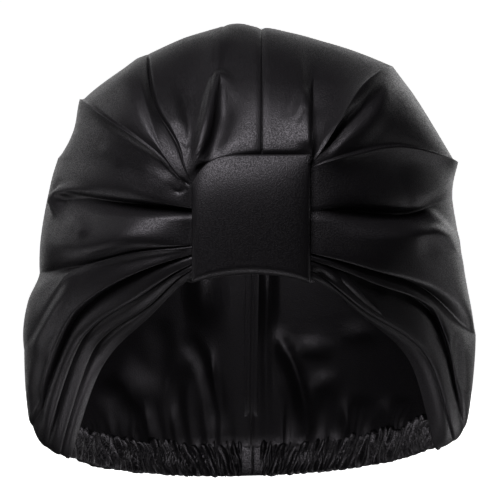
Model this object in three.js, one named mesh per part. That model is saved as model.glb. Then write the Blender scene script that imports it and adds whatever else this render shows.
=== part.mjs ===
// Satin hair bonnet in the turban style, shaped as a head holds it: a pleated crown of two satin halves with a
// seam over the middle, a knot wrapped round their fronts at the forehead, and a ruched casing at the nape.
// Millimetres, +Z up, face towards -Y. The origin is the inside of the crown's top, where it sits on a head.

import * as THREE from "three";

// Driving dimensions
const CLOTH = { wall: 1.2, gap: 0.3 };
const CROWN = { frontY: -105, rimY: 0, topZ: CLOTH.wall };
const KNOT = {
  halfWidth: 27, topZ: -67, bottomZ: -125.5, arch: 4, wall: 2, crownY: -113, edgeY: -107.6, innerY: -101.3,
  innerTopZ: -84, cornerDrop: 13, cornerStart: 0.35, acrossSteps: 12, frontSteps: 6, rollSteps: 6,
};
const CASING = {
  halfWidth: 86, depth: 96, endZ: -195, drop: 17, tilt: 0.027, height: 16, halfThickness: 2, gathers: 33,
  stepsPerGather: 3, sides: 8, pucker: 0.7, tabHalfLength: 6, startAngle: 1.5, squareOut: 0.5, squareUp: 0.6,
};
const SEAM = { allowance: 3, strip: 0.8, clear: 0.5, startU: 0.15 };

// How the cloth hangs: hidden under the knot, swelling in front, and falling from the rim to the casing's edge
const UNDER_KNOT = { span: 0.2, lowZ: -111, highZ: -86 };
const STRAIGHT_BACK = 0.85;
const SWELL = { full: 0.3, fadeFrom: 0.55, fadeTo: 0.95, rimFrom: 0.6, rimEnd: 1.6, foldFade: 0.4 };
const FALL = { leaveBack: 1.25, leaveDown: 0.85, leastLeave: 8, arriveIn: 0.7, arriveDown: 1.56 };
const EDGE = { halfWidth: 89, clear: 0.6, gather: 0.8, gatherStart: 1.6, seamClear: [0.7, 1.7] };
const GRID = { spanSteps: [0, 0.22, 0.5, 0.78], front: 12, back: 10, underKnot: 2 };
const SATIN = { colour: 0x141215, smooth: 0.4, gathered: 0.5 };

// Folds of the crown, a row each, from the face edge up to the centre seam. A row is the line that its crease or
// ridge follows: from the knot's edge over the front to the rim of the outline, then back and down to the casing.
// Places are front-view x outwards and z up from the crown's top. "round" is 1 where the line swells like the
// dome and 0 where it runs straight back, "casing" the share of the casing's half length where it ends. "lift"
// is the fold's height (a crease is below 0), in force between the steps "from" and "to" along the line (0 the
// knot, 1 the rim, 2 the casing); "below" and "above" are the shares of the neighbour spans that it fades over.
// "puff" is how far the cloth swells in front between this row and the next, with its crest at the share "crest",
// and "rimPuff" how far it swells at the rim.
const COLUMNS = [
  "name", "edgeX", "edgeZ", "nearX", "nearZ", "farX", "farZ", "rimX", "rimZ",
  "round", "casing", "lift", "from", "to", "below", "above", "puff", "crest", "rimPuff",
];
const LEFT_FOLDS = [
  ["face_edge", 27.5, -122, 47, -140.5, 70, -163.5, 88.5, -212, 0.12, 0, 0, 0, 1, 1, 1, 2, 0.5, 0],
  ["hem_crease", 27.5, -120, 46.5, -135.5, 72, -154.5, 93, -211, 0.35, 0.05, -4, 0.1, 0.75, 0.8, 0.8, 3, 0.4, 0],
  ["low_crease", 27.5, -117, 52, -129, 77.5, -151, 99.5, -208, 0.55, 0.11, -3, 0.4, 1.1, 0.7, 0.7, 3.5, 0.5, 0.5],
  ["mid_crease", 27.5, -113, 51, -121, 79.5, -139.5, 106.5, -196.5, 0.8, 0.18, -6, 0.1, 1, 0.7, 0.7, 3, 0.4, 0.5],
  ["side_ridge", 27.5, -110.5, 51, -114.5, 82.5, -121.5, 110.5, -159.5, 0.9, 0.27, 3, 0.7, 1, 0.8, 0.8, 2, 0.5, 2],
  ["cheek_crease", 27.5, -108.5, 51.5, -110.5, 77, -116.5, 102.5, -117.5, 1, 0.36, -6, 0.12, 1, 0.8, 0.4, 8, 0.42, 1.5],
  ["pocket", 27.5, -92, 46, -90, 70, -87, 98, -80, 1, 0.48, -11, 0.2, 0.95, 0.5, 0.35, 6, 0.45, -2],
  ["temple_ridge", 27.5, -82.5, 45, -64.5, 64.5, -50.5, 82, -38, 1, 0.62, 4, 0.3, 1.05, 0.5, 0.3, 3, 0.5, -2.5],
  ["pleat_low", 27.5, -81, 40, -61.5, 46, -37.5, 51, -15.5, 1, 0.72, -2.5, 0.2, 1, 0.3, 0.6, 3, 0.5, 0.5],
  ["pleat_high", 27.5, -78.5, 32.5, -61, 41.5, -40, 46.5, -13, 1, 0.77, -3, 0.2, 1, 0.6, 0.4, 4, 0.5, 0],
  ["tuck", 26.5, -77, 29, -59.5, 28.5, -41, 30.5, -6.5, 1, 0.83, -4, 0.15, 0.7, 0.4, 0.5, 1.5, 0.6, 0],
  ["crown_ridge", 25.5, -75, 20.5, -56.5, 18, -36.5, 17, -2.5, 1, 0.9, 4, 0.2, 0.95, 0.6, 0.6, 0.5, 0.5, 0],
  ["crown_pocket", 22, -72.5, 16, -60.5, 13, -36.5, 10, -0.5, 1, 0.94, -6, 0.1, 0.8, 0.8, 0.5, 3.5, 0.5, 0],
  ["seam", -5, -68, -5, -50, -5, -29.5, -5, 0, 1, 1, 0, 0, 2, 1, 1, 0, 0.5, 0],
];
const RIGHT_FOLDS = [
  ["face_edge", 27.5, -122, 51, -140.5, 75, -162.5, 90.5, -208, 0.12, 0, 0, 0, 1, 1, 1, 1, 0.5, 0],
  ["hem_crease", 27.5, -120, 51, -138, 78, -158.5, 96.5, -206.5, 0.35, 0.05, -3, 0.2, 1, 0.8, 0.5, 4, 0.4, 0],
  ["low_crease", 27.5, -115.5, 54, -125, 84, -139, 104, -197.5, 0.6, 0.13, -5, 0.1, 1, 0.5, 0.6, 3, 0.4, -0.5],
  ["mid_crease", 27.5, -112.5, 52.5, -119, 80.5, -128.5, 108.5, -152, 0.85, 0.25, -6, 0.1, 1, 0.7, 0.5, 5, 0.4, -1],
  ["side_ridge", 27.5, -103, 59, -106, 84, -104, 103, -119.5, 1, 0.36, 2, 0.6, 1, 0.6, 0.6, 3, 0.4, 0.5],
  ["pocket", 27.5, -93, 45, -92, 71.5, -93, 98, -84, 1, 0.46, -10, 0.2, 0.95, 0.6, 0.35, 7, 0.5, -1.5],
  ["temple_edge", 27.5, -73, 44, -67.5, 67.5, -63, 99.5, -68.5, 1, 0.58, 4, 0.2, 1.05, 0.5, 0.2, 2, 0.4, -4],
  ["crown_ridge", 27.5, -71, 39.5, -53.5, 53.5, -35.5, 68, -21.5, 1, 0.72, 5, 0.2, 1.05, 0.3, 0.6, 4, 0.4, -3],
  ["tuck", 27.5, -68.5, 29, -51, 31.5, -34, 37.5, -9, 1, 0.85, -5, 0.1, 0.9, 0.5, 0.6, 4, 0.5, -2],
  ["crown_puff", 20.5, -68, 21.5, -50, 23.5, -31.5, 22, -5.5, 1, 0.92, 1, 0.2, 0.9, 0.6, 0.6, 2.5, 0.5, 0],
  ["seam", 5, -68, 5, -50, 5, -29.5, 5, 0, 1, 1, 0, 0, 2, 1, 1, 0, 0.5, 0],
];

const { lerp, smoothstep: ease, degToRad } = THREE.MathUtils;

// Cubic through evenly spaced values that never overshoots them, and may level out at its end
function spline(values, place, levelEnd = false) {
  const last = values.length - 1;
  const i = Math.min(Math.max(Math.floor(place), 0), last - 1);
  const step = (k) => values[k + 1] - values[k];
  const slope = (k) => {
    if (k === last && levelEnd) return 0;
    if (k === 0 || k === last) return step(Math.min(k, last - 1));
    const product = step(k - 1) * step(k);
    return product > 0 ? (2 * product) / (step(k - 1) + step(k)) : 0;
  };
  const t = place - i;
  const rise = values[i] + (values[i + 1] - values[i]) * t * t * (3 - 2 * t);
  return rise + slope(i) * t * (1 - t) * (1 - t) - slope(i + 1) * t * t * (1 - t);
}

// Top edge of the nape casing: a half ellipse from the right, round the back, to the left, lowest at the back
function casingRing(halfWidth, angle) {
  const x = halfWidth * Math.cos(angle);
  const z = CASING.endZ - CASING.drop * Math.sin(angle) + CASING.tilt * x + CROWN.topZ;
  return new THREE.Vector3(x, CASING.depth * Math.sin(angle), z);
}

// One half of the crown as a surface: w counts the fold rows, u runs from the knot (0) over the rim (1) to the
// casing (2), and side is 1 on the right and -1 on the left
class CrownHalf {
  constructor(folds, side) {
    this.folds = folds.map((row) => Object.fromEntries(COLUMNS.map((column, i) => [column, row[i]])));
    this.side = side;
    this.lastRow = folds.length - 1;
  }

  // Heights level out at the seam, so that the two halves meet in one round dome
  value(column, w) {
    return spline(this.folds.map((fold) => fold[column]), w, column.endsWith("Z"));
  }

  frontPoint(w, u) {
    const s = Math.sin((Math.PI / 2) * Math.max(u, 0));
    const station = u < 0 ? 1 + u / UNDER_KNOT.span : 1 + 3 * s;
    const middleZ = lerp(UNDER_KNOT.lowZ, UNDER_KNOT.highZ, w / this.lastRow);
    const across = [0, ...["edgeX", "nearX", "farX", "rimX"].map((column) => this.value(column, w))];
    const heights = [middleZ, ...["edgeZ", "nearZ", "farZ", "rimZ"].map((column) => this.value(column, w))];
    const round = this.value("round", w);
    const ahead = (1 - round) * (1 - s) ** STRAIGHT_BACK + round * Math.sqrt(Math.max(1 - s * s, 0));
    const y = lerp(CROWN.rimY, CROWN.frontY, ahead);
    return new THREE.Vector3(spline(across, station), y, spline(heights, station) + CROWN.topZ);
  }

  // From the rim the cloth runs straight back, then bends down and in to the casing's edge
  backPoint(w, u) {
    const angle = (Math.PI / 2) * this.value("casing", w);
    const start = new THREE.Vector3(this.value("rimX", w), CROWN.rimY, this.value("rimZ", w) + CROWN.topZ);
    const end = casingRing(EDGE.halfWidth, this.side > 0 ? angle : Math.PI - angle);
    end.x *= this.side;
    end.z += EDGE.clear;
    const fall = start.z - end.z;
    const leaveY = Math.max(FALL.leaveBack * end.y + FALL.leaveDown * fall, FALL.leastLeave);
    const arrive = new THREE.Vector3(Math.cos(angle), Math.sin(angle), 0);
    arrive.multiplyScalar(-FALL.arriveIn * Math.max(fall, 0)).setZ(-FALL.arriveDown * fall);
    const t = u - 1;
    const point = start.clone().lerp(end, t * t * (3 - 2 * t));
    point.y += leaveY * t * (1 - t) * (1 - t);
    return point.addScaledVector(arrive, -t * t * (1 - t));
  }

  base(w, u) {
    const point = u <= 1 ? this.frontPoint(w, u) : this.backPoint(w, u);
    point.x = this.side * (point.x + CLOTH.gap / 2);
    return point;
  }

  normal(w, u) {
    const step = 1e-3;
    const alongU = this.base(w, Math.min(u + step, 2)).sub(this.base(w, u - step));
    const alongW = this.base(Math.min(w + step, this.lastRow), u).sub(this.base(Math.max(w - step, 0), u));
    const out = alongU.cross(alongW).multiplyScalar(this.side);
    if (w === this.lastRow) out.x = 0;
    return out.normalize();
  }

  inForce(fold, u) {
    return ease(u, 0, Math.max(fold.from, 0.01)) * (1 - ease(u, fold.to - SWELL.foldFade, fold.to));
  }

  // Height of creases, ridges and puffs above the smooth surface
  foldHeight(w, u) {
    const i = Math.min(Math.floor(w), this.lastRow - 1);
    const f = w - i;
    const fold = this.folds[i];
    const next = this.folds[i + 1];
    const fade = (distance, reach) => Math.max(1 - distance / reach, 0) ** 2;
    const liftHere = fold.lift * this.inForce(fold, u) * fade(f, fold.above);
    const liftNext = next.lift * this.inForce(next, u) * fade(1 - f, next.below);
    const toCrest = f < fold.crest ? f / fold.crest : (1 - f) / (1 - fold.crest);
    const front = ease(u, 0, SWELL.full) * (1 - ease(u, SWELL.fadeFrom, SWELL.fadeTo));
    const rim = ease(u, SWELL.rimFrom, 1) * (1 - ease(u, 1, SWELL.rimEnd));
    const swell = (fold.puff * front + fold.rimPuff * rim) * Math.sin((Math.PI / 2) * toCrest);
    return liftHere + liftNext + swell;
  }
}

// Closed body between an outer and an inner grid of points, the same size, with their four edges joined
function wallGeometry(outer, inner, flipped) {
  const across = outer[0].length;
  const half = outer.length * across;
  const index = [];
  const quad = (a, b, c, d) => {
    const turn = flipped ? [a, c, b, a, d, c] : [a, b, c, a, c, d];
    index.push(...turn);
  };
  for (let i = 0; i + 1 < outer.length; i += 1) {
    for (let j = 0; j + 1 < across; j += 1) {
      const a = i * across + j;
      quad(a, a + 1, a + across + 1, a + across);
      quad(half + a, half + a + across, half + a + across + 1, half + a + 1);
    }
  }
  const rim = [];
  for (let j = 0; j + 1 < across; j += 1) rim.push(j);
  for (let i = 0; i + 1 < outer.length; i += 1) rim.push(i * across + across - 1);
  for (let j = across - 1; j > 0; j -= 1) rim.push((outer.length - 1) * across + j);
  for (let i = outer.length - 1; i > 0; i -= 1) rim.push(i * across);
  rim.forEach((a, k) => {
    const b = rim[(k + 1) % rim.length];
    quad(a, half + a, half + b, b);
  });
  return indexedGeometry([...outer.flat(), ...inner.flat()], index);
}

function indexedGeometry(points, index) {
  const geometry = new THREE.BufferGeometry().setFromPoints(points);
  geometry.setIndex(index);
  geometry.computeVertexNormals();
  return geometry;
}

function satinMesh(name, geometry, roughness) {
  const material = new THREE.MeshStandardMaterial({ color: SATIN.colour, roughness, metalness: 0 });
  const mesh = new THREE.Mesh(geometry, material);
  mesh.name = name;
  return mesh;
}

// Crown halves: walls that follow every fold, drawn into gathers along the casing
function evenSteps(count, low, high) {
  return Array.from({ length: count }, (_, i) => lerp(low, high, i / count));
}

const LINE_STEPS = [
  ...evenSteps(GRID.underKnot, -UNDER_KNOT.span, 0),
  ...evenSteps(GRID.front, 0, 1),
  ...evenSteps(GRID.back, 1, 2),
  2,
];

function crownPanel(half) {
  const rows = half.folds.slice(0, -1).flatMap((_, i) => GRID.spanSteps.map((f) => i + f));
  rows.push(half.lastRow);
  const outer = [];
  const inner = [];
  rows.forEach((w, i) => {
    const gather = EDGE.gather * (-1) ** i * ease(w, 0, 1) * ease(half.lastRow - w, ...EDGE.seamClear);
    const line = LINE_STEPS.map((u) => {
      const out = half.normal(w, u);
      const height = half.foldHeight(w, u) + gather * ease(u, EDGE.gatherStart, 2);
      return { out, point: half.base(w, u).addScaledVector(out, height) };
    });
    outer.push(line.map(({ point }) => point));
    inner.push(line.map(({ point, out }) => point.clone().addScaledVector(out, -CLOTH.wall)));
  });
  return wallGeometry(outer, inner, half.side < 0);
}

// Knot: a strip that covers the gathered fronts, rolls under their lower edge and runs up again inside
function knotSection(x) {
  const bow = 1 - (x / KNOT.halfWidth) ** 2;
  const frontY = lerp(KNOT.edgeY, KNOT.crownY, Math.sqrt(Math.max(bow, 0)));
  const rollRadius = (KNOT.innerY - frontY) / 2;
  const rollZ = KNOT.bottomZ + KNOT.arch * bow + CROWN.topZ + rollRadius;
  const corner = KNOT.cornerDrop * ease(-x / KNOT.halfWidth, KNOT.cornerStart, 1);
  const topZ = KNOT.topZ - corner + CROWN.topZ;
  const section = [];
  for (let k = 0; k < KNOT.frontSteps; k += 1) {
    const t = k / KNOT.frontSteps;
    const tuck = (KNOT.edgeY - frontY) * (1 - t) ** 3;
    section.push(new THREE.Vector3(x, frontY + tuck, lerp(topZ, rollZ, t)));
  }
  for (let k = 0; k <= KNOT.rollSteps; k += 1) {
    const angle = (Math.PI * k) / KNOT.rollSteps;
    const y = frontY + rollRadius * (1 - Math.cos(angle));
    section.push(new THREE.Vector3(x, y, rollZ - rollRadius * Math.sin(angle)));
  }
  section.push(new THREE.Vector3(x, KNOT.innerY, KNOT.innerTopZ + CROWN.topZ));
  return section;
}

function knotBand() {
  const outer = [];
  const inner = [];
  for (let i = 0; i <= KNOT.acrossSteps; i += 1) {
    const section = knotSection(KNOT.halfWidth * Math.sin(Math.PI * (i / KNOT.acrossSteps - 0.5)));
    outer.push(section);
    inner.push(section.map((point, k) => {
      const before = section[Math.max(k - 1, 0)];
      const after = section[Math.min(k + 1, section.length - 1)];
      const along = after.clone().sub(before).normalize();
      return point.clone().add(new THREE.Vector3(0, -along.z, along.y).multiplyScalar(KNOT.wall));
    }));
  }
  return wallGeometry(outer, inner, false);
}

// Nape casing: a flat channel drawn into puckers by the elastic, smooth at the join in the middle
function squared(value, power) {
  return Math.sign(value) * Math.abs(value) ** power;
}

function napeCasing() {
  const { sides } = CASING;
  const count = CASING.gathers * CASING.stepsPerGather;
  const start = degToRad(CASING.startAngle);
  const points = [];
  const index = [];
  for (let i = 0; i <= count; i += 1) {
    const angle = lerp(start, Math.PI - start, i / count);
    const centre = casingRing(CASING.halfWidth, angle);
    const outward = new THREE.Vector3(Math.cos(angle), Math.sin(angle), 0);
    const ruched = ease(Math.abs(centre.x), CASING.tabHalfLength, 2 * CASING.tabHalfLength);
    const wave = Math.cos((2 * Math.PI * i) / CASING.stepsPerGather);
    const halfThickness = CASING.halfThickness + CASING.pucker * wave * ruched;
    for (let k = 0; k < sides; k += 1) {
      const turn = (2 * Math.PI * (k + 0.5)) / sides;
      const out = halfThickness * squared(Math.cos(turn), CASING.squareOut);
      const point = centre.clone().addScaledVector(outward, out);
      point.z += (CASING.height / 2) * (squared(Math.sin(turn), CASING.squareUp) - 1);
      points.push(point);
    }
  }
  for (let i = 0; i < count; i += 1) {
    for (let k = 0; k < sides; k += 1) {
      const a = i * sides + k;
      const b = i * sides + ((k + 1) % sides);
      index.push(a, a + sides, b + sides, a, b + sides, b);
    }
  }
  const last = count * sides;
  for (let k = 1; k + 1 < sides; k += 1) {
    index.push(0, k, k + 1, last, last + k + 1, last + k);
  }
  return indexedGeometry(points, index);
}

// Centre seam: the pressed seam allowance inside the crown, from above the knot to the casing
function centreSeam(half) {
  const steps = LINE_STEPS.filter((u) => u > SEAM.startU);
  const outer = [];
  const inner = [];
  for (const across of [-1, 0, 1]) {
    const line = steps.map((u) => {
      const out = half.normal(half.lastRow, u);
      const top = half.base(half.lastRow, u).addScaledVector(out, -CLOTH.wall - SEAM.clear);
      top.x += across * SEAM.allowance - (half.side * CLOTH.gap) / 2;
      return { top, out };
    });
    outer.push(line.map(({ top }) => top));
    inner.push(line.map(({ top, out }) => top.clone().addScaledVector(out, -SEAM.strip)));
  }
  return wallGeometry(outer, inner, true);
}

const leftHalf = new CrownHalf(LEFT_FOLDS, -1);
const rightHalf = new CrownHalf(RIGHT_FOLDS, 1);
const bonnet = new THREE.Group();
bonnet.add(satinMesh("crown_panel_left", crownPanel(leftHalf), SATIN.smooth));
bonnet.add(satinMesh("crown_panel_right", crownPanel(rightHalf), SATIN.smooth));
bonnet.add(satinMesh("knot_band", knotBand(), SATIN.smooth));
bonnet.add(satinMesh("nape_casing", napeCasing(), SATIN.gathered));
bonnet.add(satinMesh("centre_seam", centreSeam(rightHalf), SATIN.gathered));

export default bonnet;
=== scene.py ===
import math
from collections import namedtuple

import bmesh
import bpy
import numpy as np
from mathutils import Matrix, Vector


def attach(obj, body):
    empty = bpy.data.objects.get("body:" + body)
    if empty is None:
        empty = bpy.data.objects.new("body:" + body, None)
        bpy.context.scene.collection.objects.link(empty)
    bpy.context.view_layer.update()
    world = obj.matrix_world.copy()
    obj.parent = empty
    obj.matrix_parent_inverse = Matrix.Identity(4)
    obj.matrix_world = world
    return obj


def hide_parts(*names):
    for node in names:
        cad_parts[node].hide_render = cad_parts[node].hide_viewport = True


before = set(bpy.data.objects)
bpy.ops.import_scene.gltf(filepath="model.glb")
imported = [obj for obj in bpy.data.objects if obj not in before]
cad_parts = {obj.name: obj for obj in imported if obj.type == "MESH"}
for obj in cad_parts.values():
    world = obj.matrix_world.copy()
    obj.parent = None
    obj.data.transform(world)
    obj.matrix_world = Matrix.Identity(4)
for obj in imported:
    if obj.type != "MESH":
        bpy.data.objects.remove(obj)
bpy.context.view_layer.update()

# Camera: level with the middle of the bonnet, 1.5 m in front of the widest part of the outline, with a long
# lens. What it sees at that distance is 244.5 mm wide.
MM = 0.001
VIEW_DISTANCE = 1500
VIEW_WIDTH = 244.5
VIEW_X, VIEW_Z = -0.5, -109.3
camera_data = bpy.data.cameras.new("camera")
camera_data.sensor_width = 36
camera_data.lens = camera_data.sensor_width * VIEW_DISTANCE / VIEW_WIDTH
camera = bpy.data.objects.new("camera", camera_data)
camera.location = (VIEW_X * MM, -VIEW_DISTANCE * MM, VIEW_Z * MM)
camera.rotation_euler = (math.radians(90), 0, 0)
bpy.context.collection.objects.link(camera)
bpy.context.scene.camera = camera

# Crown halves: two pieces of black satin, sewn together over the middle of the head, with a turned hem at
# the face. They are gathered under the knot in front and into the casing at the nape.

# Their folds, a row each, from the face edge up to the centre seam. A fold is a line on the cloth: from the
# knot's edge over the front to the rim of the outline, then back and down to the casing. Places are x
# outwards and z up, in millimetres. dome is 1 where the line swells and 0 where it runs straight back, casing
# the share of the casing's half length where it ends. lift is the fold's height between start and end along
# the line (0 the knot, 1 the rim), where it fades out over fade. below and above are the shares of the
# neighbour spans that it reaches over, and sharp is 1 for a pressed line. puff and rim_puff swell the span up
# to the next row, most at the share crest.
RELIEF_COLUMNS = "lift sharp start end fade below above puff crest rim_puff"
Relief = namedtuple("Relief", RELIEF_COLUMNS)
Fold = namedtuple("Fold", "name edge near far rim dome casing " + RELIEF_COLUMNS,
                  defaults=(0, 0.5, 0.1, 1, 0.3, 0.6, 0.6, 0, 0.5, 0))
LEFT_FOLDS = [
    Fold("face_edge", (27.5, -122), (47, -140.5), (70, -163.5), (88.5, -212), 0.12, 0,
         puff=0.8, rim_puff=0.3),
    Fold("hem_crease", (27.5, -120), (46.5, -135.5), (72, -154.5), (93, -210.5), 0.35, 0.05,
         lift=-1.5, sharp=0.8, below=0.35, above=0.15, puff=2, crest=0.3, rim_puff=0.5),
    Fold("low_crease", (27.5, -117.5), (52, -133), (77.5, -151), (99.5, -207), 0.55, 0.11,
         lift=-2, sharp=0.8, below=0.35, above=0.15, puff=2, crest=0.3, rim_puff=0.5),
    Fold("mid_crease", (27.5, -113), (51, -121), (79.5, -139.5), (106.5, -196.5), 0.8, 0.18,
         lift=-3.5, sharp=0.8, fade=0.4, below=0.4, above=0.12, puff=3, crest=0.15, rim_puff=1),
    Fold("side_ridge", (27.5, -110.5), (51, -114.5), (82.5, -121.5), (110.5, -159.5), 0.9, 0.27,
         crest=0.62, rim_puff=2.5),
    Fold("cheek_crease", (27.5, -108.5), (51.5, -110.5), (77, -116.5), (103, -121.5), 1, 0.36,
         lift=-2, sharp=0.9, below=0.3, above=0.1, puff=6, crest=0.35, rim_puff=1.5),
    Fold("pocket", (27.5, -92), (46, -90), (70, -87), (98, -80), 1, 0.46,
         lift=-6, sharp=0.3, start=0.05, end=0.76, fade=0.55, below=0.3, above=0.08, puff=2.5, crest=0.3),
    Fold("temple", (27.5, -86), (46, -76), (68, -68), (94, -66), 1, 0.55, rim_puff=-3),
    Fold("temple_ridge", (27.5, -82.5), (45, -64.5), (64.5, -50.5), (82, -38), 1, 0.62,
         lift=3, sharp=1, start=0.3, end=1.1, fade=0.4, below=0.4, above=0.06,
         puff=1, crest=0.6, rim_puff=-1),
    Fold("strap_left", (27.5, -81), (42, -61), (50, -38), (55, -17), 1, 0.72,
         lift=0.8, start=0.2, end=0.9, fade=0.4, below=0.8, above=0.9),
    Fold("strap_right", (27.5, -78.5), (33.5, -61.5), (44.5, -40.5), (50, -15), 1, 0.77,
         lift=-3, sharp=0.9, start=0.45, fade=0.3, below=0.22, above=0.12),
    Fold("tuck", (26.5, -77), (29, -59.5), (29.5, -41), (31, -6.5), 1, 0.83),
    Fold("crown_ridge", (25.5, -75), (21.5, -56.5), (18.5, -36.5), (17, -2.5), 1, 0.9),
    Fold("crown_pocket", (23, -73), (17.5, -59), (15, -36.5), (13, -1.5), 1, 0.94, rim_puff=1.8),
    Fold("seam", (-5, -68), (-5, -50), (-5, -29.5), (-5, -2), 1, 1),
]
RIGHT_FOLDS = [
    Fold("face_edge", (27.5, -122), (51, -140.5), (75, -162.5), (90.5, -208), 0.12, 0,
         puff=0.8, rim_puff=0.3),
    Fold("hem_crease", (27.5, -120), (51, -138), (81, -159.5), (98.5, -204), 0.35, 0.05,
         lift=-0.8, sharp=1, below=0.3, above=0.15, puff=2, crest=0.2, rim_puff=0.4),
    Fold("low_crease", (27.5, -115.5), (54, -125), (84, -139), (104, -197.5), 0.6, 0.13,
         lift=-2, sharp=0.8, below=0.3, above=0.15, puff=2.5, crest=0.2, rim_puff=0.5),
    Fold("mid_crease", (27.5, -112.5), (52.5, -119), (80.5, -128.5), (109.6, -152), 0.85, 0.25,
         lift=-3, sharp=0.9, below=0.35, above=0.12, puff=4, crest=0.2, rim_puff=-1),
    Fold("side_ridge", (27.5, -103), (59, -106), (84, -104), (103, -119.5), 1, 0.36,
         lift=1.5, sharp=0.2, start=0.6, rim_puff=0.5),
    Fold("pocket", (27.5, -93), (45, -92), (71.5, -93), (98, -84), 1, 0.46,
         lift=-4, sharp=0.3, start=0.35, end=0.7, fade=0.35, below=0.4, above=0.09, puff=3, crest=0.3),
    Fold("temple_edge", (27.5, -73), (44, -67.5), (67.5, -63), (99.5, -68.5), 1, 0.58,
         lift=3.5, sharp=1, start=0.2, end=1.1, fade=0.4, below=0.5, above=0.06,
         puff=1.5, crest=0.4, rim_puff=-2.4),
    Fold("crown_ridge", (27.5, -71), (39.5, -53.5), (53.5, -35.5), (68.5, -22.8), 1, 0.72,
         lift=4, sharp=0.9, start=0.2, end=1.08, fade=0.5, below=0.2, above=0.6, rim_puff=0.3),
    Fold("tuck", (28, -68.5), (28.4, -52), (28.8, -35), (34, -8.5), 1, 0.85,
         lift=-4, sharp=0.3, start=0.05, end=0.56, fade=0.25, below=0.75, above=0.15),
    Fold("crown_puff", (20.5, -68), (21.5, -50), (23, -31.5), (19, -4.5), 1, 0.92),
    Fold("seam", (5, -68), (5, -50), (5, -29.5), (5, -2), 1, 1),
]

# Lengths are in millimetres. HIDDEN values shape the gathered stretch under the knot, LEAVE and ARRIVE values
# the way of a line back from the rim and down to the casing, and SWELL values are places along a line.
CLOTH_WALL = 1.2
SEAM_GAP = 0.3
CROWN_FRONT_Y = -105
CROWN_TOP_Z = CLOTH_WALL
STRAIGHT_BACK = 0.85
HIDDEN_SPAN = 0.2
HIDDEN_LOW_Z, HIDDEN_HIGH_Z = -111, -86
LEAVE_BACK, LEAVE_DOWN, LEAVE_LEAST = 1.25, 0.85, 8
ARRIVE_IN, ARRIVE_DOWN = 0.7, 1.56
SWELL_FULL, SWELL_FADE = 0.3, (0.55, 0.95)
RIM_SWELL_START, RIM_SWELL_END = 0.6, 1.6
CREASE_START = -0.1
CASING_HALF_WIDTH, CASING_DEPTH, CASING_END_Z = 86, 96, -195
CASING_DROP, CASING_TILT = 17, 0.027
EDGE_HALF_WIDTH, EDGE_CLEAR = 89, 0.6


def ease(value, low, high):
    """Smooth step from 0 at low to 1 at high."""
    t = np.clip((value - low) / (high - low), 0, 1)
    return t * t * (3 - 2 * t)


def spline(values, place, level_end=False):
    """Cubic through evenly spaced values, along the first axis, that never overshoots them."""
    values = np.asarray(values, float)
    steps = np.diff(values, axis=0)
    product = steps[:-1] * steps[1:]
    total = np.where(product > 0, steps[:-1] + steps[1:], 1)
    middle = np.where(product > 0, 2 * product / total, 0)
    slopes = np.concatenate([steps[:1], middle, steps[-1:] * (0 if level_end else 1)])
    i = np.clip(np.floor(place).astype(int), 0, len(values) - 2)
    t = (place - i).reshape((-1,) + (1,) * (values.ndim - 1))
    rise = values[i] + steps[i] * t * t * (3 - 2 * t)
    return rise + slopes[i] * t * (1 - t) ** 2 - slopes[i + 1] * t * t * (1 - t)


def fold_shape(distance, sharp):
    """Height of a fold at a share of its reach: rounded where sharp is 0, a pressed line where it is 1."""
    return np.maximum(1 - distance, 0) ** 2 * (1 + 2 * np.minimum(distance, 1) * (1 - sharp))


def unit(vectors):
    return vectors / np.linalg.norm(vectors, axis=-1, keepdims=True)


def casing_ring(half_width, angle):
    """The casing's top edge: a half ellipse from the right round the back to the left, lowest at the back."""
    x = half_width * np.cos(angle)
    z = CASING_END_Z - CASING_DROP * np.sin(angle) + CASING_TILT * x + CROWN_TOP_Z
    return np.stack([x, CASING_DEPTH * np.sin(angle), z], axis=-1)


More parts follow.
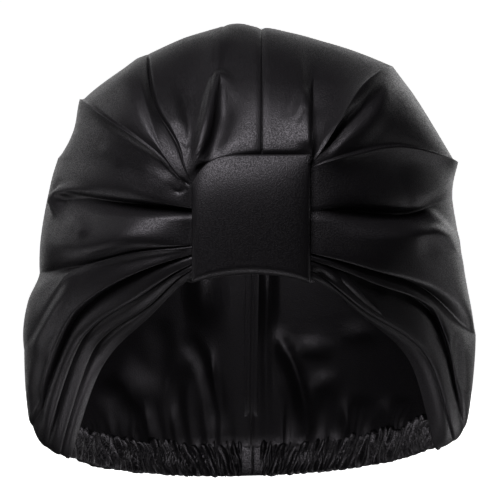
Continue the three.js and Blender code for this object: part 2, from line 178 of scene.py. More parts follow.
class CrownHalf:
    """One half of the crown as a surface: w counts the fold rows, and u runs from the knot (0) over the rim
    (1) to the casing (2). side is 1 on the right and -1 on the left."""

    def __init__(self, folds, side):
        self.folds = folds
        self.side = side
        self.last = len(folds) - 1

    def column(self, name, w):
        """A column of the table, run smoothly from row to row."""
        return spline([getattr(fold, name) for fold in self.folds], w)

    def place(self, name, w):
        """x and z of a station of the lines. Heights level out at the seam, where the halves meet."""
        x, z = zip(*[getattr(fold, name) for fold in self.folds])
        return spline(x, w), spline(z, w, level_end=True)

    def casing_angle(self, w):
        """Angle on the casing's half ellipse where each line ends."""
        angle = math.pi / 2 * self.column("casing", w)
        return angle if self.side > 0 else math.pi - angle

    def front(self, w, u):
        """The lines from the middle under the knot (station 0) over its edge (1) to the rim (4)."""
        s = np.sin(math.pi / 2 * np.maximum(u, 0))
        station = np.where(u < 0, 1 + u / HIDDEN_SPAN, 1 + 3 * s)
        middle_z = HIDDEN_LOW_Z + (HIDDEN_HIGH_Z - HIDDEN_LOW_Z) * w / self.last
        places = [(0 * w, middle_z)] + [self.place(name, w) for name in ("edge", "near", "far", "rim")]
        across, height = zip(*places)
        dome = self.column("dome", w)[:, None]
        ahead = (1 - dome) * (1 - s) ** STRAIGHT_BACK + dome * np.sqrt(np.maximum(1 - s * s, 0))
        x, z = spline(across, station).T, spline(height, station).T
        return np.stack([x, CROWN_FRONT_Y * ahead, z], axis=-1)

    def back(self, w, u):
        """The lines from the rim to the casing: they leave straight back, then come down and in."""
        angle = self.casing_angle(w)
        rim_x, rim_z = self.place("rim", w)
        rim = np.stack([rim_x, 0 * w, rim_z], axis=-1)
        end = casing_ring(EDGE_HALF_WIDTH, angle) * [self.side, 1, 1] + [0, 0, EDGE_CLEAR - CROWN_TOP_Z]
        fall = rim[:, 2] - end[:, 2]
        leave = np.maximum(LEAVE_BACK * end[:, 1] + LEAVE_DOWN * fall, LEAVE_LEAST)
        inward = -ARRIVE_IN * np.maximum(fall, 0)
        across, back = inward * np.abs(np.cos(angle)), inward * np.sin(angle)
        arrive = np.stack([across, back, -ARRIVE_DOWN * fall], axis=-1)
        t = (u - 1)[None, :, None]
        point = rim[:, None] + (end - rim)[:, None] * t * t * (3 - 2 * t) - arrive[:, None] * t * t * (1 - t)
        point[..., 1] += leave[:, None] * (t * (1 - t) ** 2)[..., 0]
        return point

    def base(self, w, u):
        """The smooth surface, before any fold, with half of the seam's gap."""
        front = self.front(w, np.minimum(u, 1))
        back = self.back(w, np.maximum(u, 1))
        point = np.where((u <= 1)[None, :, None], front, back)
        return (point + [SEAM_GAP / 2, 0, CROWN_TOP_Z]) * [self.side, 1, 1]

    def normal(self, w, u):
        """Directions out of the smooth surface. At the seam they are the same for both halves."""
        step = 1e-3
        along_u = self.base(w, np.minimum(u + step, 2)) - self.base(w, u - step)
        along_w = self.base(np.minimum(w + step, self.last), u) - self.base(np.maximum(w - step, 0), u)
        out = np.cross(along_u, along_w) * self.side
        out[w == self.last, :, 0] = 0
        return unit(out)

    def fold_height(self, w, u):
        """How far the folds of the table, and the swells between them, lift each point."""
        i = np.minimum(np.floor(w).astype(int), self.last - 1)
        f = (w - i)[:, None]
        rows = np.array([[getattr(fold, name) for name in Relief._fields] for fold in self.folds])
        here = Relief(*rows[i].T[..., None])
        after = Relief(*rows[i + 1].T[..., None])

        def lifted(fold, distance):
            begun = ease(u, np.where(fold.lift < 0, CREASE_START, 0), fold.start)
            ended = ease(u, fold.end - fold.fade, fold.end)
            return fold.lift * fold_shape(distance, fold.sharp) * (begun * (1 - ended))

        lift = lifted(here, f / here.above) + lifted(after, (1 - f) / after.below)
        swell = np.where(f < here.crest, np.sin(math.pi / 2 * f / here.crest), ease(1 - f, 0, 1 - here.crest))
        in_front = ease(u, 0, SWELL_FULL) * (1 - ease(u, *SWELL_FADE))
        at_rim = ease(u, RIM_SWELL_START, 1) * (1 - ease(u, 1, RIM_SWELL_END))
        return lift + (here.puff * in_front + here.rim_puff * at_rim) * swell


# Folds and wrinkles that no line of the tables follows, as the camera sees them at the distance of the rim:
# each is a curve through places and fades out at both ends. lift is how far it stands out of the crown, and
# below 0 it is a crease; on the back, which is seen from inside, it is the other way round. left and right
# are its reaches on the two sides, going from the first place to the last.
Wrinkle = namedtuple("Wrinkle", "name places lift left right sharp fade", defaults=(0, (0.35, 0.35)))
FRONT_WRINKLES = [
    Wrinkle("puff beside the strap", [(-41, -24), (-37, -40), (-34, -53)], 1.2, 5, 8, fade=(0.5, 0.3)),
    Wrinkle("hook under that puff",
            [(-30.5, -41), (-29.8, -49.5), (-31, -56), (-34, -58.5)], -0.8, 4, 3, fade=(0.5, 0.2)),
    Wrinkle("loop over the knot",
            [(-29.5, -74), (-24.5, -58), (-21, -45), (-18, -33), (-16.4, -27.6), (-14.4, -25.4),
             (-12, -28), (-9.5, -34), (-6.5, -41.5)], 2.7, 5, 5.5, 0, (0.15, 0.42)),
    Wrinkle("pocket inside the loop",
            [(-13.5, -32), (-14, -41), (-15.5, -50.5), (-18, -59), (-21, -67)],
            -1.7, 8, 5, 0, (0.35, 0.15)),
    Wrinkle("flat above the knot", [(-22, -47), (-5, -45), (12, -45), (28, -47)], -1.3, 20, 20),
    Wrinkle("soft step above the loop", [(-18.5, -28), (-17, -18), (-14.5, -8), (-10, -2)], 1, 10, 6),
    Wrinkle("shadow along the strap",
            [(-48.5, -44), (-46, -54), (-43, -61.5), (-38.5, -70), (-34, -76.5)], -0.5, 5, 8),
    Wrinkle("nick left of the knot", [(-38.5, -79), (-35.5, -81), (-30, -78)], -0.5, 1.6, 1.6),
    Wrinkle("upper nick", [(-34.5, -74), (-32.5, -76), (-30.3, -77.5)], -1.2, 1.5, 1.5),
    Wrinkle("fold over the temple", [(-74, -56.5), (-68, -62.5), (-61, -69)], 0.7, 5, 5),
    Wrinkle("puff beside the knot", [(-58, -69), (-47, -75), (-36, -79)], 1, 7, 7),
    Wrinkle("rolled end of the left pocket",
            [(-71.5, -83.5), (-83.5, -81), (-90.5, -81.5), (-93.5, -86), (-92, -91), (-87.5, -94.5)],
            5.5, 4, 5, fade=(0.4, 0.5)),
    Wrinkle("fold from the pocket's end", [(-88, -94), (-80, -98.5), (-76, -104.5)], 1.5, 5, 5),
    Wrinkle("ridge down the left side",
            [(-86.5, -119), (-89, -129), (-94, -137.5), (-102, -151.5), (-107, -161)],
            1.8, 5, 5, 0.1, (0.45, 0.25)),
    Wrinkle("hollow beside that ridge",
            [(-92, -121), (-97, -130), (-103, -143)], -1, 5, 6, fade=(0.4, 0.4)),
    Wrinkle("valley at the left foot",
            [(-96, -156), (-102, -169), (-104.5, -182.5), (-102.5, -197)], -2.5, 3, 5),
    Wrinkle("edge of the fold over the knot",
            [(26, -27.5), (27.5, -36), (28, -48), (28.5, -61.5)], 1.6, 2.5, 9, 0.1, (0.3, 0.15)),
    Wrinkle("its soft left side", [(16, -46), (19.5, -37.5), (23, -29)], -0.5, 4, 5),
    Wrinkle("crease across it", [(22.5, -48), (24.5, -43), (27, -38.5)], -0.5, 2.5, 2.5),
    Wrinkle("valley beside the crown ridge",
            [(33, -64.5), (43.5, -52.5), (55, -40), (64.5, -28)], -2.2, 4, 4.5, fade=(0.25, 0.4)),
    Wrinkle("second ridge on the right crown",
            [(45, -59.5), (57, -47.5), (64, -36), (67.5, -25)], 0.8, 3.5, 8),
    Wrinkle("bulge past the right pocket",
            [(71, -68), (75.5, -76), (79, -85), (81, -93)], 0.8, 12, 5, fade=(0.35, 0.25)),
    Wrinkle("crest on the right side", [(79, -87.5), (88.5, -93.5), (96, -102), (102, -110.5)], 1.8, 5, 6),
    Wrinkle("hollow below it", [(80, -103.5), (86.5, -107.5), (92.5, -115)], -1, 8, 8, fade=(0.5, 0.5)),
    Wrinkle("valley at the right side", [(103, -146), (100, -158), (101, -172), (104.5, -184)], -1.8, 4, 5),
    Wrinkle("short crease right of the knot", [(29.5, -118.5), (36.5, -122), (42.5, -128)], -1.5, 3, 3),
    Wrinkle("lens crease on the right", [(46.5, -122), (57, -126.5), (67, -131.5)], -1.2, 3, 3),
    Wrinkle("lens crease, running down",
            [(67, -128), (76, -132), (85.5, -137.5), (92.5, -145.5), (98.5, -156.5)], -1.2, 3.5, 3.5),
]
BACK_WRINKLES = [
    Wrinkle("deep hollow left of the seam",
            [(-22.5, -96), (-23, -128), (-21, -152)], 6, 14, 12, fade=(0.5, 0.45)),
    Wrinkle("stem of the forked fold", [(-34.5, -151), (-27, -160), (-22, -172)], -2.5, 6, 6),
    Wrinkle("its left arm", [(-25, -166), (-37, -178), (-38, -196)], -2.5, 6, 6),
    Wrinkle("its right arm", [(-25, -166), (-19, -182), (-17.5, -200)], -2.5, 8, 5),
    Wrinkle("hollow by the left cheek", [(-72, -166), (-61, -175), (-52, -190)], 4.5, 14, 14),
    Wrinkle("puff by the left cheek", [(-75, -172), (-66, -184), (-60, -200)], -5, 11, 10),
    Wrinkle("soft fold on the left", [(-47, -140), (-44, -160), (-46, -182)], -1.5, 8.5, 8.5),
    Wrinkle("crease beside the fork", [(-20, -158), (-18.5, -172), (-17.5, -192)], 2.5, 4, 4),
    Wrinkle("crease beside the puff", [(-52, -182), (-50, -195), (-47, -208)], 3, 5, 5),
    Wrinkle("slanting crease right of the seam", [(9.5, -148), (20.5, -166), (29.5, -204)], 5.5, 6, 6),
    Wrinkle("upper level crease", [(18, -158), (31, -157.5), (45, -160)], 3, 5, 5, fade=(0.5, 0.5)),
    Wrinkle("outer level crease", [(41, -151), (54, -150), (67, -152)], 2, 6, 6, fade=(0.5, 0.5)),
    Wrinkle("lower level crease", [(26, -180), (36, -174), (47, -173.5)], 2.5, 5, 5, fade=(0.5, 0.5)),
    Wrinkle("first puff on the right", [(36, -180), (37, -192), (38, -206)], -2.5, 10, 10),
    Wrinkle("crease after the first puff", [(45, -181), (47, -194), (50, -205)], 2, 4, 4),
    Wrinkle("second puff on the right", [(55, -181), (56, -192), (57, -204)], -2.5, 8.5, 8.5),
    Wrinkle("crease after the second puff", [(66, -181), (67, -190), (68, -200)], 2.5, 5, 5),
    Wrinkle("third puff on the right", [(73, -181), (74, -190), (76, -200)], -2, 8.5, 8.5),
    Wrinkle("crease along the seam", [(6.5, -100), (7, -150), (8, -206)], 1.5, 4, 4),
    Wrinkle("narrow puff by the seam", [(19, -174), (20, -190), (19, -206)], -2, 7, 7),
    Wrinkle("hollow right of the seam", [(8, -96), (9, -128), (10, -156)], 4, 6, 10, fade=(0.5, 0.5)),
]
CURVE_STEPS = 121


def wrinkle_height(points, wrinkles):
    """How far the wrinkles lift each point, from its distance to their curves in the camera's view."""
    nearness = VIEW_DISTANCE / (VIEW_DISTANCE + points[..., 1:2])
    middle = np.array([VIEW_X, VIEW_Z])
    seen = (points[..., [0, 2]] - middle) * nearness + middle
    height = np.zeros(points.shape[:2])
    along = np.linspace(0, 1, CURVE_STEPS)
    for wrinkle in wrinkles:
        curve = spline(wrinkle.places, along * (len(wrinkle.places) - 1))
        ahead = unit(np.gradient(curve, axis=0))
        reach = max(wrinkle.left, wrinkle.right)
        near = ((seen > curve.min(axis=0) - reach) & (seen < curve.max(axis=0) + reach)).all(axis=-1)
        offsets = seen[near][:, None] - curve
        gaps = np.hypot(offsets[..., 0], offsets[..., 1])
        nearest = gaps.argmin(axis=1)
        offset = offsets[np.arange(len(nearest)), nearest]
        on_left = ahead[nearest, 0] * offset[:, 1] > ahead[nearest, 1] * offset[:, 0]
        distance = gaps.min(axis=1) / np.where(on_left, wrinkle.left, wrinkle.right)
        faded = ease(along, 0, wrinkle.fade[0]) * (1 - ease(along, 1 - wrinkle.fade[1], 1))
        height[near] += wrinkle.lift * fold_shape(distance, wrinkle.sharp) * faded[nearest]
    return height


MERGE_DISTANCE = 0.001


def cloth_mesh(name, points, flipped, closed=False):
    """A sheet of quads through rows and columns of points, in millimetres, or a closed tube."""
    rows, columns = points.shape[:2]
    bm = bmesh.new()
    bm.loops.layers.uv.new("UVMap")
    bmesh.ops.create_grid(bm, x_segments=columns - 1, y_segments=rows - 1, size=1, calc_uvs=True)
    for vert in bm.verts:
        row = round((vert.co.y + 1) / 2 * (rows - 1))
        column = round((vert.co.x + 1) / 2 * (columns - 1))
        vert.co = points[row, column] * MM
    if closed:
        bmesh.ops.remove_doubles(bm, verts=bm.verts, dist=MERGE_DISTANCE * MM)
        open_edges = [edge for edge in bm.edges if edge.is_boundary]
        bmesh.ops.holes_fill(bm, edges=open_edges, sides=0)
    if flipped:
        bmesh.ops.reverse_faces(bm, faces=bm.faces)
    for face in bm.faces:
        face.smooth = True
    mesh = bpy.data.meshes.new(name)
    bm.to_mesh(mesh)
    bm.free()
    piece = bpy.data.objects.new(name, mesh)
    bpy.context.collection.objects.link(piece)
    return piece


def thicken(piece, wall):
    """Gives a sheet its wall, behind the face that was modelled."""
    modifier = piece.modifiers.new("wall", "SOLIDIFY")
    modifier.thickness = wall * MM
    modifier.offset = -1
    modifier.use_even_offset = False


GRAIN_SCALE, GRAIN_TURN, GRAIN_DEPTH = 1900, (0.5, 0.7, 0.3), 0.08
COLOUR_LOW, COLOUR_HIGH = 0.3, 0.7
GLOSS_LOW, GLOSS_HIGH, GLOSS_RANGE = 0.38, 0.62, 0.14


def satin(name, dark, light, roughness):
    """Satin weave: a grain of floating threads that varies the colour, the gloss and the surface."""
    material = bpy.data.materials.new(name)
    material.use_nodes = True
    nodes = material.node_tree.nodes
    link = material.node_tree.links.new
    shader = nodes["Principled BSDF"]
    shader.inputs["Specular IOR Level"].default_value = 0.5
    shader.inputs["Specular Tint"].default_value = (0.97, 0.91, 1, 1)
    place = nodes.new("ShaderNodeTexCoord")
    grain = nodes.new("ShaderNodeTexNoise")
    grain.inputs["Scale"].default_value = GRAIN_SCALE
    grain.inputs["Detail"].default_value = 0
    turned = nodes.new("ShaderNodeMapping")
    turned.inputs["Rotation"].default_value = GRAIN_TURN
    link(place.outputs["Object"], turned.inputs["Vector"])
    link(turned.outputs["Vector"], grain.inputs["Vector"])
    colour = nodes.new("ShaderNodeValToRGB")
    colour.color_ramp.elements[0].position = COLOUR_LOW
    colour.color_ramp.elements[0].color = (*dark, 1)
    colour.color_ramp.elements[1].position = COLOUR_HIGH
    colour.color_ramp.elements[1].color = (*light, 1)
    link(grain.outputs["Fac"], colour.inputs["Fac"])
    link(colour.outputs["Color"], shader.inputs["Base Color"])
    rough = nodes.new("ShaderNodeMapRange")
    rough.inputs["From Min"].default_value = GLOSS_LOW
    rough.inputs["From Max"].default_value = GLOSS_HIGH
    rough.inputs["To Min"].default_value = roughness + GLOSS_RANGE
    rough.inputs["To Max"].default_value = roughness - GLOSS_RANGE
    link(grain.outputs["Fac"], rough.inputs["Value"])
    link(rough.outputs["Result"], shader.inputs["Roughness"])
    bump = nodes.new("ShaderNodeBump")
    bump.inputs["Strength"].default_value = 1.0
    bump.inputs["Distance"].default_value = GRAIN_DEPTH * MM
    link(grain.outputs["Fac"], bump.inputs["Height"])
    link(bump.outputs["Normal"], shader.inputs["Normal"])
    return material


HEM_RADIUS, HEM_TURN, HEM_STEPS = 1.3, (3, 6, 9), 8
HEM_FLAT, HEM_FOOT = 0.8, (0.8, 0.97)
HIDDEN_STEPS, FRONT_STEPS, BACK_STEPS = 4, 110, 70
black_satin = satin("black_satin", (0.002, 0.0018, 0.0021), (0.010, 0.009, 0.0106), 0.46)
u_steps = np.concatenate([
    np.linspace(-HIDDEN_SPAN, 0, HIDDEN_STEPS, endpoint=False),
    np.linspace(0, 1, FRONT_STEPS, endpoint=False),
    np.linspace(1, 2, BACK_STEPS + 1),
])


def hem(edge, beside, out):
    """Rows of points that turn the sheet's edge in under itself, from inside to the edge. The turn is flatter
    at the foot."""
    turn = (1 - HEM_FLAT * ease(np.append(u_steps, 2), *HEM_FOOT))[:, None]
    along = unit(np.gradient(edge, axis=0))
    ahead = edge - beside
    lengthwise = along * (ahead * along).sum(-1, keepdims=True)
    outwards = out * (ahead * out).sum(-1, keepdims=True)
    ahead = unit(ahead - lengthwise - outwards)
    turned = [edge - turn * (out * 2 * HEM_RADIUS + ahead * run) for run in reversed(HEM_TURN)]
    for angle in np.linspace(math.pi, 0, HEM_STEPS)[:-1]:
        turned.append(edge - turn * HEM_RADIUS * (out * (1 - math.cos(angle)) - ahead * math.sin(angle)))
    return np.array(turned)


COLUMN_WIDTH, COLUMNS_PER_SPAN, EVEN_SHARE = 1.55, (14, 28), 0.3
FRONT_FADE, BACK_FADE = (0, 8), (15, 40)
GATHERS, GATHER_WIDTH, GATHER_DEPTH = 60, (4, 10), (0.1, 0.7)
GATHER_START, GATHER_SEAM_CLEAR = 1.9, 0.3
SEAM_DIP, SEAM_DIP_WIDTH = 0.7, 1.3
KNOT_DIP, KNOT_DIP_LEAST, KNOT_DIP_END = 1.5, 0.2, 0.035
TUCK_OUT, TUCK_DOWN = 0.5, 4
rng = np.random.default_rng(11)
for label, folds, side in (("left", LEFT_FOLDS, -1), ("right", RIGHT_FOLDS, 1)):
    half = CrownHalf(folds, side)

    # Columns of the mesh, closer together beside each fold line.
    w_steps = []
    for i in range(half.last):
        width = math.dist(folds[i].rim, folds[i + 1].rim)
        count = int(np.clip(width / COLUMN_WIDTH, *COLUMNS_PER_SPAN))
        share = np.arange(count) / count
        w_steps.extend(i + EVEN_SHARE * share + (1 - EVEN_SHARE) * ease(share, 0, 1))
    w_steps = np.array(w_steps + [float(half.last)])

    # Folds of the table, then the wrinkles in front and at the back.
    base = half.base(w_steps, u_steps)
    out = half.normal(w_steps, u_steps)
    height = half.fold_height(w_steps, u_steps)
    at_front = ease(-base[..., 1], *FRONT_FADE)
    at_back = ease(base[..., 1], *BACK_FADE)
    height += at_front * wrinkle_height(base, FRONT_WRINKLES) + at_back * wrinkle_height(base, BACK_WRINKLES)

    # Small uneven gathers just above the casing, which fade out at the seam.
    gather_edges = np.cumsum(rng.uniform(*GATHER_WIDTH, GATHERS))
    gather_depths = rng.uniform(*GATHER_DEPTH, GATHERS)
    along_casing = half.column("casing", w_steps) * CASING_HALF_WIDTH * math.pi / 2
    phase = np.interp(along_casing, gather_edges, np.arange(GATHERS))
    gathers = np.cos(2 * math.pi * phase) * np.interp(along_casing, gather_edges, gather_depths)
    off_seam = ease(half.last - w_steps, 0, GATHER_SEAM_CLEAR)
    height += gathers[:, None] * ease(u_steps, GATHER_START, 2) * off_seam[:, None]

    # Dips where the halves are stitched together and where the knot presses on them.
    from_seam = (base[..., 0] - base[-1, :, 0]) / SEAM_DIP_WIDTH
    by_seam = ease(w_steps, half.last - 1, half.last)
    height -= SEAM_DIP * np.exp(-from_seam ** 2) * by_seam[:, None]
    at_top = KNOT_DIP_LEAST + (1 - KNOT_DIP_LEAST) * ease(w_steps, half.last - 2, half.last - 1)
    height -= KNOT_DIP * (1 - ease(u_steps, 0, KNOT_DIP_END)) * at_top[:, None]

    # The lower edge goes on down into the casing, and the face edge gets its hem.
    surface = base + out * height[..., None]
    tucked = casing_ring(CASING_HALF_WIDTH + TUCK_OUT, half.casing_angle(w_steps)) - [0, 0, TUCK_DOWN]
    surface = np.concatenate([surface, tucked[:, None]], axis=1)
    out = np.concatenate([out, out[:, -1:]], axis=1)
    surface = np.concatenate([hem(surface[0], surface[2], out[0]), surface])

    panel = cloth_mesh(f"crown_panel_{label}_satin", surface, side < 0)
    panel.data.materials.append(black_satin)
    thicken(panel, CLOTH_WALL)
    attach(panel, "root")
    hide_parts(f"crown_panel_{label}")

# Centre seam: the two allowances of the crown's middle seam, of the same satin, pressed apart inside and
# stitched down. It runs from above the knot over the head into the casing.
SEAM_HALF_WIDTH, SEAM_DEPTH, SEAM_WALL, SEAM_ROWS = 3.6, 1, 0.8, 25
SEAM_START, SEAM_END, SEAM_SINK, SEAM_TUCK = 0.03, (1.94, 1.99), 1.15, 2
SEAM_GROOVE, STITCH_GROOVE, STITCH_PLACE, GROOVE_WIDTH = 0.3, 0.15, 0.5, 0.14
left = CrownHalf(LEFT_FOLDS, -1)
seam_row = np.array([float(left.last)])
seam_u = u_steps[u_steps > SEAM_START]
seam_line = left.base(seam_row, seam_u)
seam_out = left.normal(seam_row, seam_u)[0]
seam_lift = ease(-seam_line[..., 1], *FRONT_FADE) * wrinkle_height(seam_line, FRONT_WRINKLES)
seam_line = seam_line[0] + seam_out * seam_lift[0, :, None]
seam_line[-1, 2] -= SEAM_TUCK
seam_across = unit(np.cross(seam_out, np.gradient(seam_line, axis=0)))
seam_rows = []
for share in np.linspace(-1, 1, SEAM_ROWS):
    middle_groove = SEAM_GROOVE * math.exp(-(share / GROOVE_WIDTH) ** 2)
    stitch_groove = STITCH_GROOVE * math.exp(-((abs(share) - STITCH_PLACE) / GROOVE_WIDTH) ** 2)
    depth = CLOTH_WALL + SEAM_DEPTH - middle_groove - stitch_groove
    drop = depth * (1 - SEAM_SINK * ease(seam_u, *SEAM_END))
    seam_rows.append(seam_line + seam_across * SEAM_HALF_WIDTH * share - seam_out * drop[:, None])
seam = cloth_mesh("centre_seam_satin", np.array(seam_rows), True)
seam.data.materials.append(black_satin)
thicken(seam, SEAM_WALL)
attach(seam, "root")
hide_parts("centre_seam")

# Knot: a strip of the same satin, wrapped round the gathered fronts of both halves, rolled under their lower
# edge and run up again inside.
KNOT_HALF_WIDTH, KNOT_TOP_Z, KNOT_BOTTOM_Z, KNOT_ARCH, KNOT_WALL = 27, -67, -125.5, 4, 2
KNOT_CROWN_Y, KNOT_EDGE_Y, KNOT_INNER_Y, KNOT_INNER_TOP_Z = -113, -106.2, -101.3, -84
KNOT_CORNER_DROP, KNOT_LEAN = 13, 2
KNOT_SIDE_CURVE, KNOT_TOP_CURVE, KNOT_CORNER_CURVE = 0.3, 5, 4
KNOT_ROWS, KNOT_FRONT_STEPS, KNOT_ROLL_STEPS, KNOT_INNER_STEPS = 61, 59, 28, 16


def knot_section(x):
    """The strip's way at one place across it: down the front, round the roll and up inside."""
    bow = max(1 - (x / KNOT_HALF_WIDTH) ** 2, 0)
    front_y = KNOT_EDGE_Y + (KNOT_CROWN_Y - KNOT_EDGE_Y) * bow ** KNOT_SIDE_CURVE
    radius = (KNOT_INNER_Y - front_y - KNOT_LEAN) / 2
    roll_z = KNOT_BOTTOM_Z + KNOT_ARCH * bow + CROWN_TOP_Z + radius
    corner = KNOT_CORNER_DROP * max(-x / KNOT_HALF_WIDTH, 0) ** KNOT_CORNER_CURVE
    top_z = KNOT_TOP_Z - corner + CROWN_TOP_Z
    t = np.linspace(0, 1, KNOT_FRONT_STEPS, endpoint=False)
    front_run = front_y + (KNOT_EDGE_Y - front_y) * (1 - t) ** KNOT_TOP_CURVE + KNOT_LEAN * t * t
    front = np.stack([x + 0 * t, front_run, top_z + (roll_z - top_z) * t], -1)
    angle = np.linspace(0, math.pi, KNOT_ROLL_STEPS)
    roll_run = front_y + KNOT_LEAN + radius * (1 - np.cos(angle))
    roll = np.stack([x + 0 * angle, roll_run, roll_z - radius * np.sin(angle)], -1)
    rise = np.linspace(0, 1, KNOT_INNER_STEPS)[1:]
    inside_z = roll_z + (KNOT_INNER_TOP_Z + CROWN_TOP_Z - roll_z) * rise
    inside = np.stack([x + 0 * rise, KNOT_INNER_Y + 0 * rise, inside_z], -1)
    return np.concatenate([front, roll, inside])


knot_rows = []
for share in np.linspace(-0.5, 0.5, KNOT_ROWS):
    knot_rows.append(knot_section(KNOT_HALF_WIDTH * math.sin(math.pi * share)))
knot = cloth_mesh("knot_band_satin", np.array(knot_rows), False)
knot.data.materials.append(black_satin)
thicken(knot, KNOT_WALL)
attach(knot, "root")
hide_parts("knot_band")

# Nape casing: a channel of the same satin, sewn to the lower edge of both halves. The elastic in it draws it
# into close slanting gathers, and only the join in the middle is smooth.
CASING_HEIGHT, CASING_HALF_THICKNESS, CASING_PINCH, CASING_START = 16, 1.5, 1, math.radians(1.5)
CASING_FLARE, CASING_BEND, CASING_RISE = 5, math.radians(7), 2
CASING_STEPS, CASING_ROWS, SQUARE_UP, SQUARE_ACROSS = 1601, 45, 0.6, 0.5
TAB_HALF_LENGTH, TAB_FADE, TAB_TOP = 4.5, 2.25, 1.2
TAB_SEAM_X, TAB_SEAM_DEPTH, TAB_SEAM_WIDTH = 1, 0.7, 0.4
RUCHES, RUCHES_BEFORE, LEAN_EVERY = 120, 5, 4
RUCHE_WIDTH, RUCHE_DEPTH, RUCHE_TUFT = (2, 5.5), (2, 4.5), (0, 4)
RUCHE_LEAN, RUCHE_STRAY, RUCHE_BEND, RUCHE_TWIST = (4, 9), 1.5, 1.4, 0.9
PUFF_MEAN, PUFF_SWAY, PUFF_WAVES, PUFF_SAG, TUFT_START = 0.7, 0.3, 2.5, 0.2, 0.5
# The casing's satin is a darker copy of the crown's: the darker colour is painted shade for the deep valleys
# between its gathers. The lower roughness gives tighter highlights on the ridges.
ruched_satin = satin("ruched_satin", (0.001, 0.0009, 0.0011), (0.006, 0.0054, 0.0064), 0.4)
rng = np.random.default_rng(7)

# The line of the top edge, whose ends bend outwards, and the way along it from the join in the middle.
angles = np.linspace(CASING_START, math.pi - CASING_START, CASING_STEPS)
centre = casing_ring(CASING_HALF_WIDTH, angles)
right_end, left_end = ease(-angles, -CASING_BEND, 0), ease(angles, math.pi - CASING_BEND, math.pi)
centre[:, 0] += CASING_FLARE * (right_end - left_end)
run = np.concatenate([[0], np.cumsum(np.linalg.norm(np.diff(centre, axis=0), axis=1))])
from_tab = np.abs(run - np.interp(0, -centre[:, 0], run))
ruched = ease(from_tab, TAB_HALF_LENGTH, TAB_HALF_LENGTH + TAB_FADE)
casing_height = CASING_HEIGHT - CASING_RISE * np.cos(angles) ** 2
tab_seam = TAB_SEAM_DEPTH * np.exp(-((centre[:, 0] - TAB_SEAM_X) / TAB_SEAM_WIDTH) ** 2)
outward = np.stack([np.cos(angles), np.sin(angles), 0 * angles], -1)

# Gather lines of each half, from the join outwards: their tops, their slanting feet and how they bend.
halves = []
for half_mask in (centre[:, 0] > 0, centre[:, 0] <= 0):
    tops = np.cumsum(rng.uniform(*RUCHE_WIDTH, RUCHES)) - RUCHES_BEFORE
    leans = rng.uniform(*RUCHE_LEAN, RUCHES // LEAN_EVERY)
    feet = tops - np.interp(np.arange(RUCHES), np.arange(0, RUCHES, LEAN_EVERY), leans)
    feet += rng.uniform(-RUCHE_STRAY, RUCHE_STRAY, RUCHES)
    bends = rng.uniform(-RUCHE_BEND, RUCHE_BEND, RUCHES)
    twists = rng.uniform(-RUCHE_TWIST, RUCHE_TWIST, RUCHES)
    depths = rng.uniform(*RUCHE_DEPTH, RUCHES)
    starts = rng.uniform(0, 2 * math.pi, RUCHES)
    tufts = rng.uniform(*RUCHE_TUFT, RUCHES)
    halves.append((half_mask, tops, np.sort(feet), bends, twists, depths, starts, tufts))


def ruches(up):
    """Height of the puffs between the gathers, and of the tufts at the top edge, at a height from -1 to 1."""
    puff, tuft = np.zeros(len(run)), np.zeros(len(run))
    for half_mask, tops, feet, bends, twists, depths, starts, tufts in halves:
        curved = bends * (1 - up * up) + twists * math.sin(math.pi * up)
        lines = np.sort(tops + (feet - tops) * (1 - up) / 2 + curved)
        place = from_tab[half_mask]
        cell = np.clip(np.searchsorted(lines, place) - 1, 0, len(lines) - 2)
        swell = np.abs(np.sin(math.pi * (place - lines[cell]) / (lines[cell + 1] - lines[cell])))
        sway = np.sin(starts[cell] + PUFF_WAVES * up)
        puff[half_mask] = swell * depths[cell] * (PUFF_MEAN + PUFF_SWAY * sway)
        tuft[half_mask] = swell * tufts[cell]
    return puff * ruched, tuft * ruched + TAB_TOP * (1 - ruched)


casing_rows = []
for turn in np.linspace(0, 2 * math.pi, CASING_ROWS):
    up, across = math.sin(turn), math.cos(turn)
    up = math.copysign(abs(up) ** SQUARE_UP, up)
    across = math.copysign(abs(across) ** SQUARE_ACROSS, across)
    puff, tuft = ruches(up)
    thick = (CASING_HALF_THICKNESS - CASING_PINCH * ruched - tab_seam + puff) * across
    lift = casing_height / 2 * (up - 1) + tuft * ease(up, TUFT_START, 1) + PUFF_SAG * puff * min(up, 0)
    casing_rows.append(centre + outward * thick[:, None] + np.outer(lift, [0, 0, 1]))
casing = cloth_mesh("nape_casing_satin", np.array(casing_rows), False, closed=True)
casing.data.materials.append(ruched_satin)
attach(casing, "root")
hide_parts("nape_casing")

# Studio: soft boxes round the bonnet, the strongest in front, above and to the left, and three small lamps in
# the face opening for the inside. A white sweep of paper stands behind and under it and lights nothing.
world = bpy.data.worlds.new("studio")
bpy.context.scene.world = world
world.use_nodes = True
background = world.node_tree.nodes["Background"]
background.inputs["Color"].default_value = (1, 1, 1, 1)
background.inputs["Strength"].default_value = 0.002
bpy.context.scene.view_settings.view_transform = "Standard"

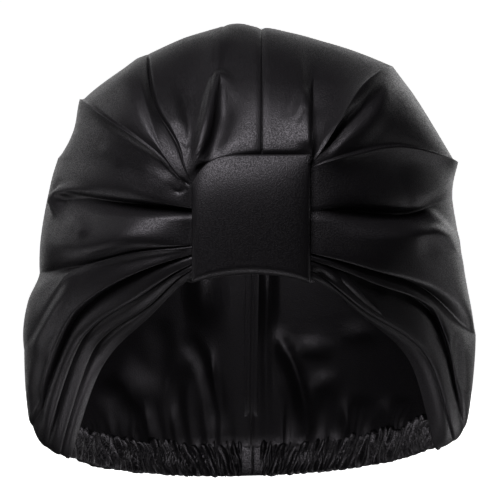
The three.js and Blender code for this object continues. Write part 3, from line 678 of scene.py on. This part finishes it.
# A box stands off its aim at an azimuth, 0 in front and 90 to the right, and an elevation, in degrees. Sizes
# and distance are in metres, and power is in watts.
SoftBox = namedtuple("SoftBox", "name azimuth elevation width height power aim distance",
                     defaults=((0, 0, -0.11), 1.3))
SOFT_BOXES = [
    SoftBox("key", -24, 47, 1.0, 1.0, 14.5),
    SoftBox("floor", -30, -77, 0.7, 0.7, 2.3),
    SoftBox("left_side", -126, 24, 0.9, 0.9, 1.4),
    SoftBox("left_low", -95, -26, 0.8, 0.8, 1.8),
    SoftBox("left_back", -150, 20, 1.2, 1.2, 0.4),
    SoftBox("back", 180, 8, 1.2, 0.8, 3.2),
    SoftBox("back_high", 172, 32, 1.0, 0.7, 0.6),
    SoftBox("right_low", 122, -45, 0.7, 0.7, 2.4),
    SoftBox("right_side", 112, -12, 0.8, 0.8, 1.4),
    SoftBox("right_rim", 150, 13, 0.7, 0.7, 1.2),
    SoftBox("inside", -4, -6, 0.12, 0.05, 0.052, aim=(0, 0.09, -0.19), distance=0.15),
    SoftBox("inside_left", -38, 8, 0.06, 0.04, 0.009, aim=(0.01, 0.09, -0.195), distance=0.12),
    SoftBox("inside_right", 40, 4, 0.06, 0.04, 0.012, aim=(-0.055, 0.06, -0.19), distance=0.12),
]
for box in SOFT_BOXES:
    light = bpy.data.lights.new(box.name, "AREA")
    light.shape = "RECTANGLE"
    light.size = box.width
    light.size_y = box.height
    light.energy = box.power
    lamp = bpy.data.objects.new(box.name, light)
    azimuth, elevation = math.radians(box.azimuth), math.radians(box.elevation)
    level = math.cos(elevation)
    away = Vector((math.sin(azimuth) * level, -math.cos(azimuth) * level, math.sin(elevation)))
    lamp.location = Vector(box.aim) + away * box.distance
    lamp.rotation_euler = away.to_track_quat("Z", "Y").to_euler()
    lamp.visible_camera = False
    bpy.context.collection.objects.link(lamp)

FLOOR_Z, FLOOR_HALF_WIDTH, FLOOR_FRONT, FLOOR_BACK = -0.24, 8, -8, 2.6
SWEEP_RADIUS, SWEEP_STEPS, WALL_HEIGHT, NEARLY = 0.8, 16, 2.0, 1e-4


def verts_of(geometry):
    return [part for part in geometry if isinstance(part, bmesh.types.BMVert)]


def edges_behind(bm, y):
    return [edge for edge in bm.edges if all(vert.co.y > y - NEARLY for vert in edge.verts)]


bm = bmesh.new()
corners = [bm.verts.new((x, FLOOR_FRONT, FLOOR_Z)) for x in (-FLOOR_HALF_WIDTH, FLOOR_HALF_WIDTH)]
floor = bmesh.ops.extrude_edge_only(bm, edges=[bm.edges.new(corners)])["geom"]
bmesh.ops.translate(bm, verts=verts_of(floor), vec=(0, FLOOR_BACK - FLOOR_FRONT, 0))
sweep_centre = (0, FLOOR_BACK, FLOOR_Z + SWEEP_RADIUS)
bmesh.ops.spin(bm, geom=edges_behind(bm, FLOOR_BACK), cent=sweep_centre, axis=(1, 0, 0),
               angle=math.pi / 2, steps=SWEEP_STEPS)
wall = bmesh.ops.extrude_edge_only(bm, edges=edges_behind(bm, FLOOR_BACK + SWEEP_RADIUS))["geom"]
bmesh.ops.translate(bm, verts=verts_of(wall), vec=(0, 0, WALL_HEIGHT))
for face in bm.faces:
    face.smooth = True
mesh = bpy.data.meshes.new("backdrop")
bm.to_mesh(mesh)
bm.free()
backdrop = bpy.data.objects.new("backdrop", mesh)
bpy.context.collection.objects.link(backdrop)
paper = bpy.data.materials.new("paper")
paper.use_nodes = True
shader = paper.node_tree.nodes["Principled BSDF"]
shader.inputs["Base Color"].default_value = (0.8, 0.8, 0.8, 1)
shader.inputs["Emission Color"].default_value = (1, 1, 1, 1)
shader.inputs["Emission Strength"].default_value = 1.0
mesh.materials.append(paper)
backdrop.visible_diffuse = False
backdrop.visible_glossy = False
backdrop.visible_shadow = False
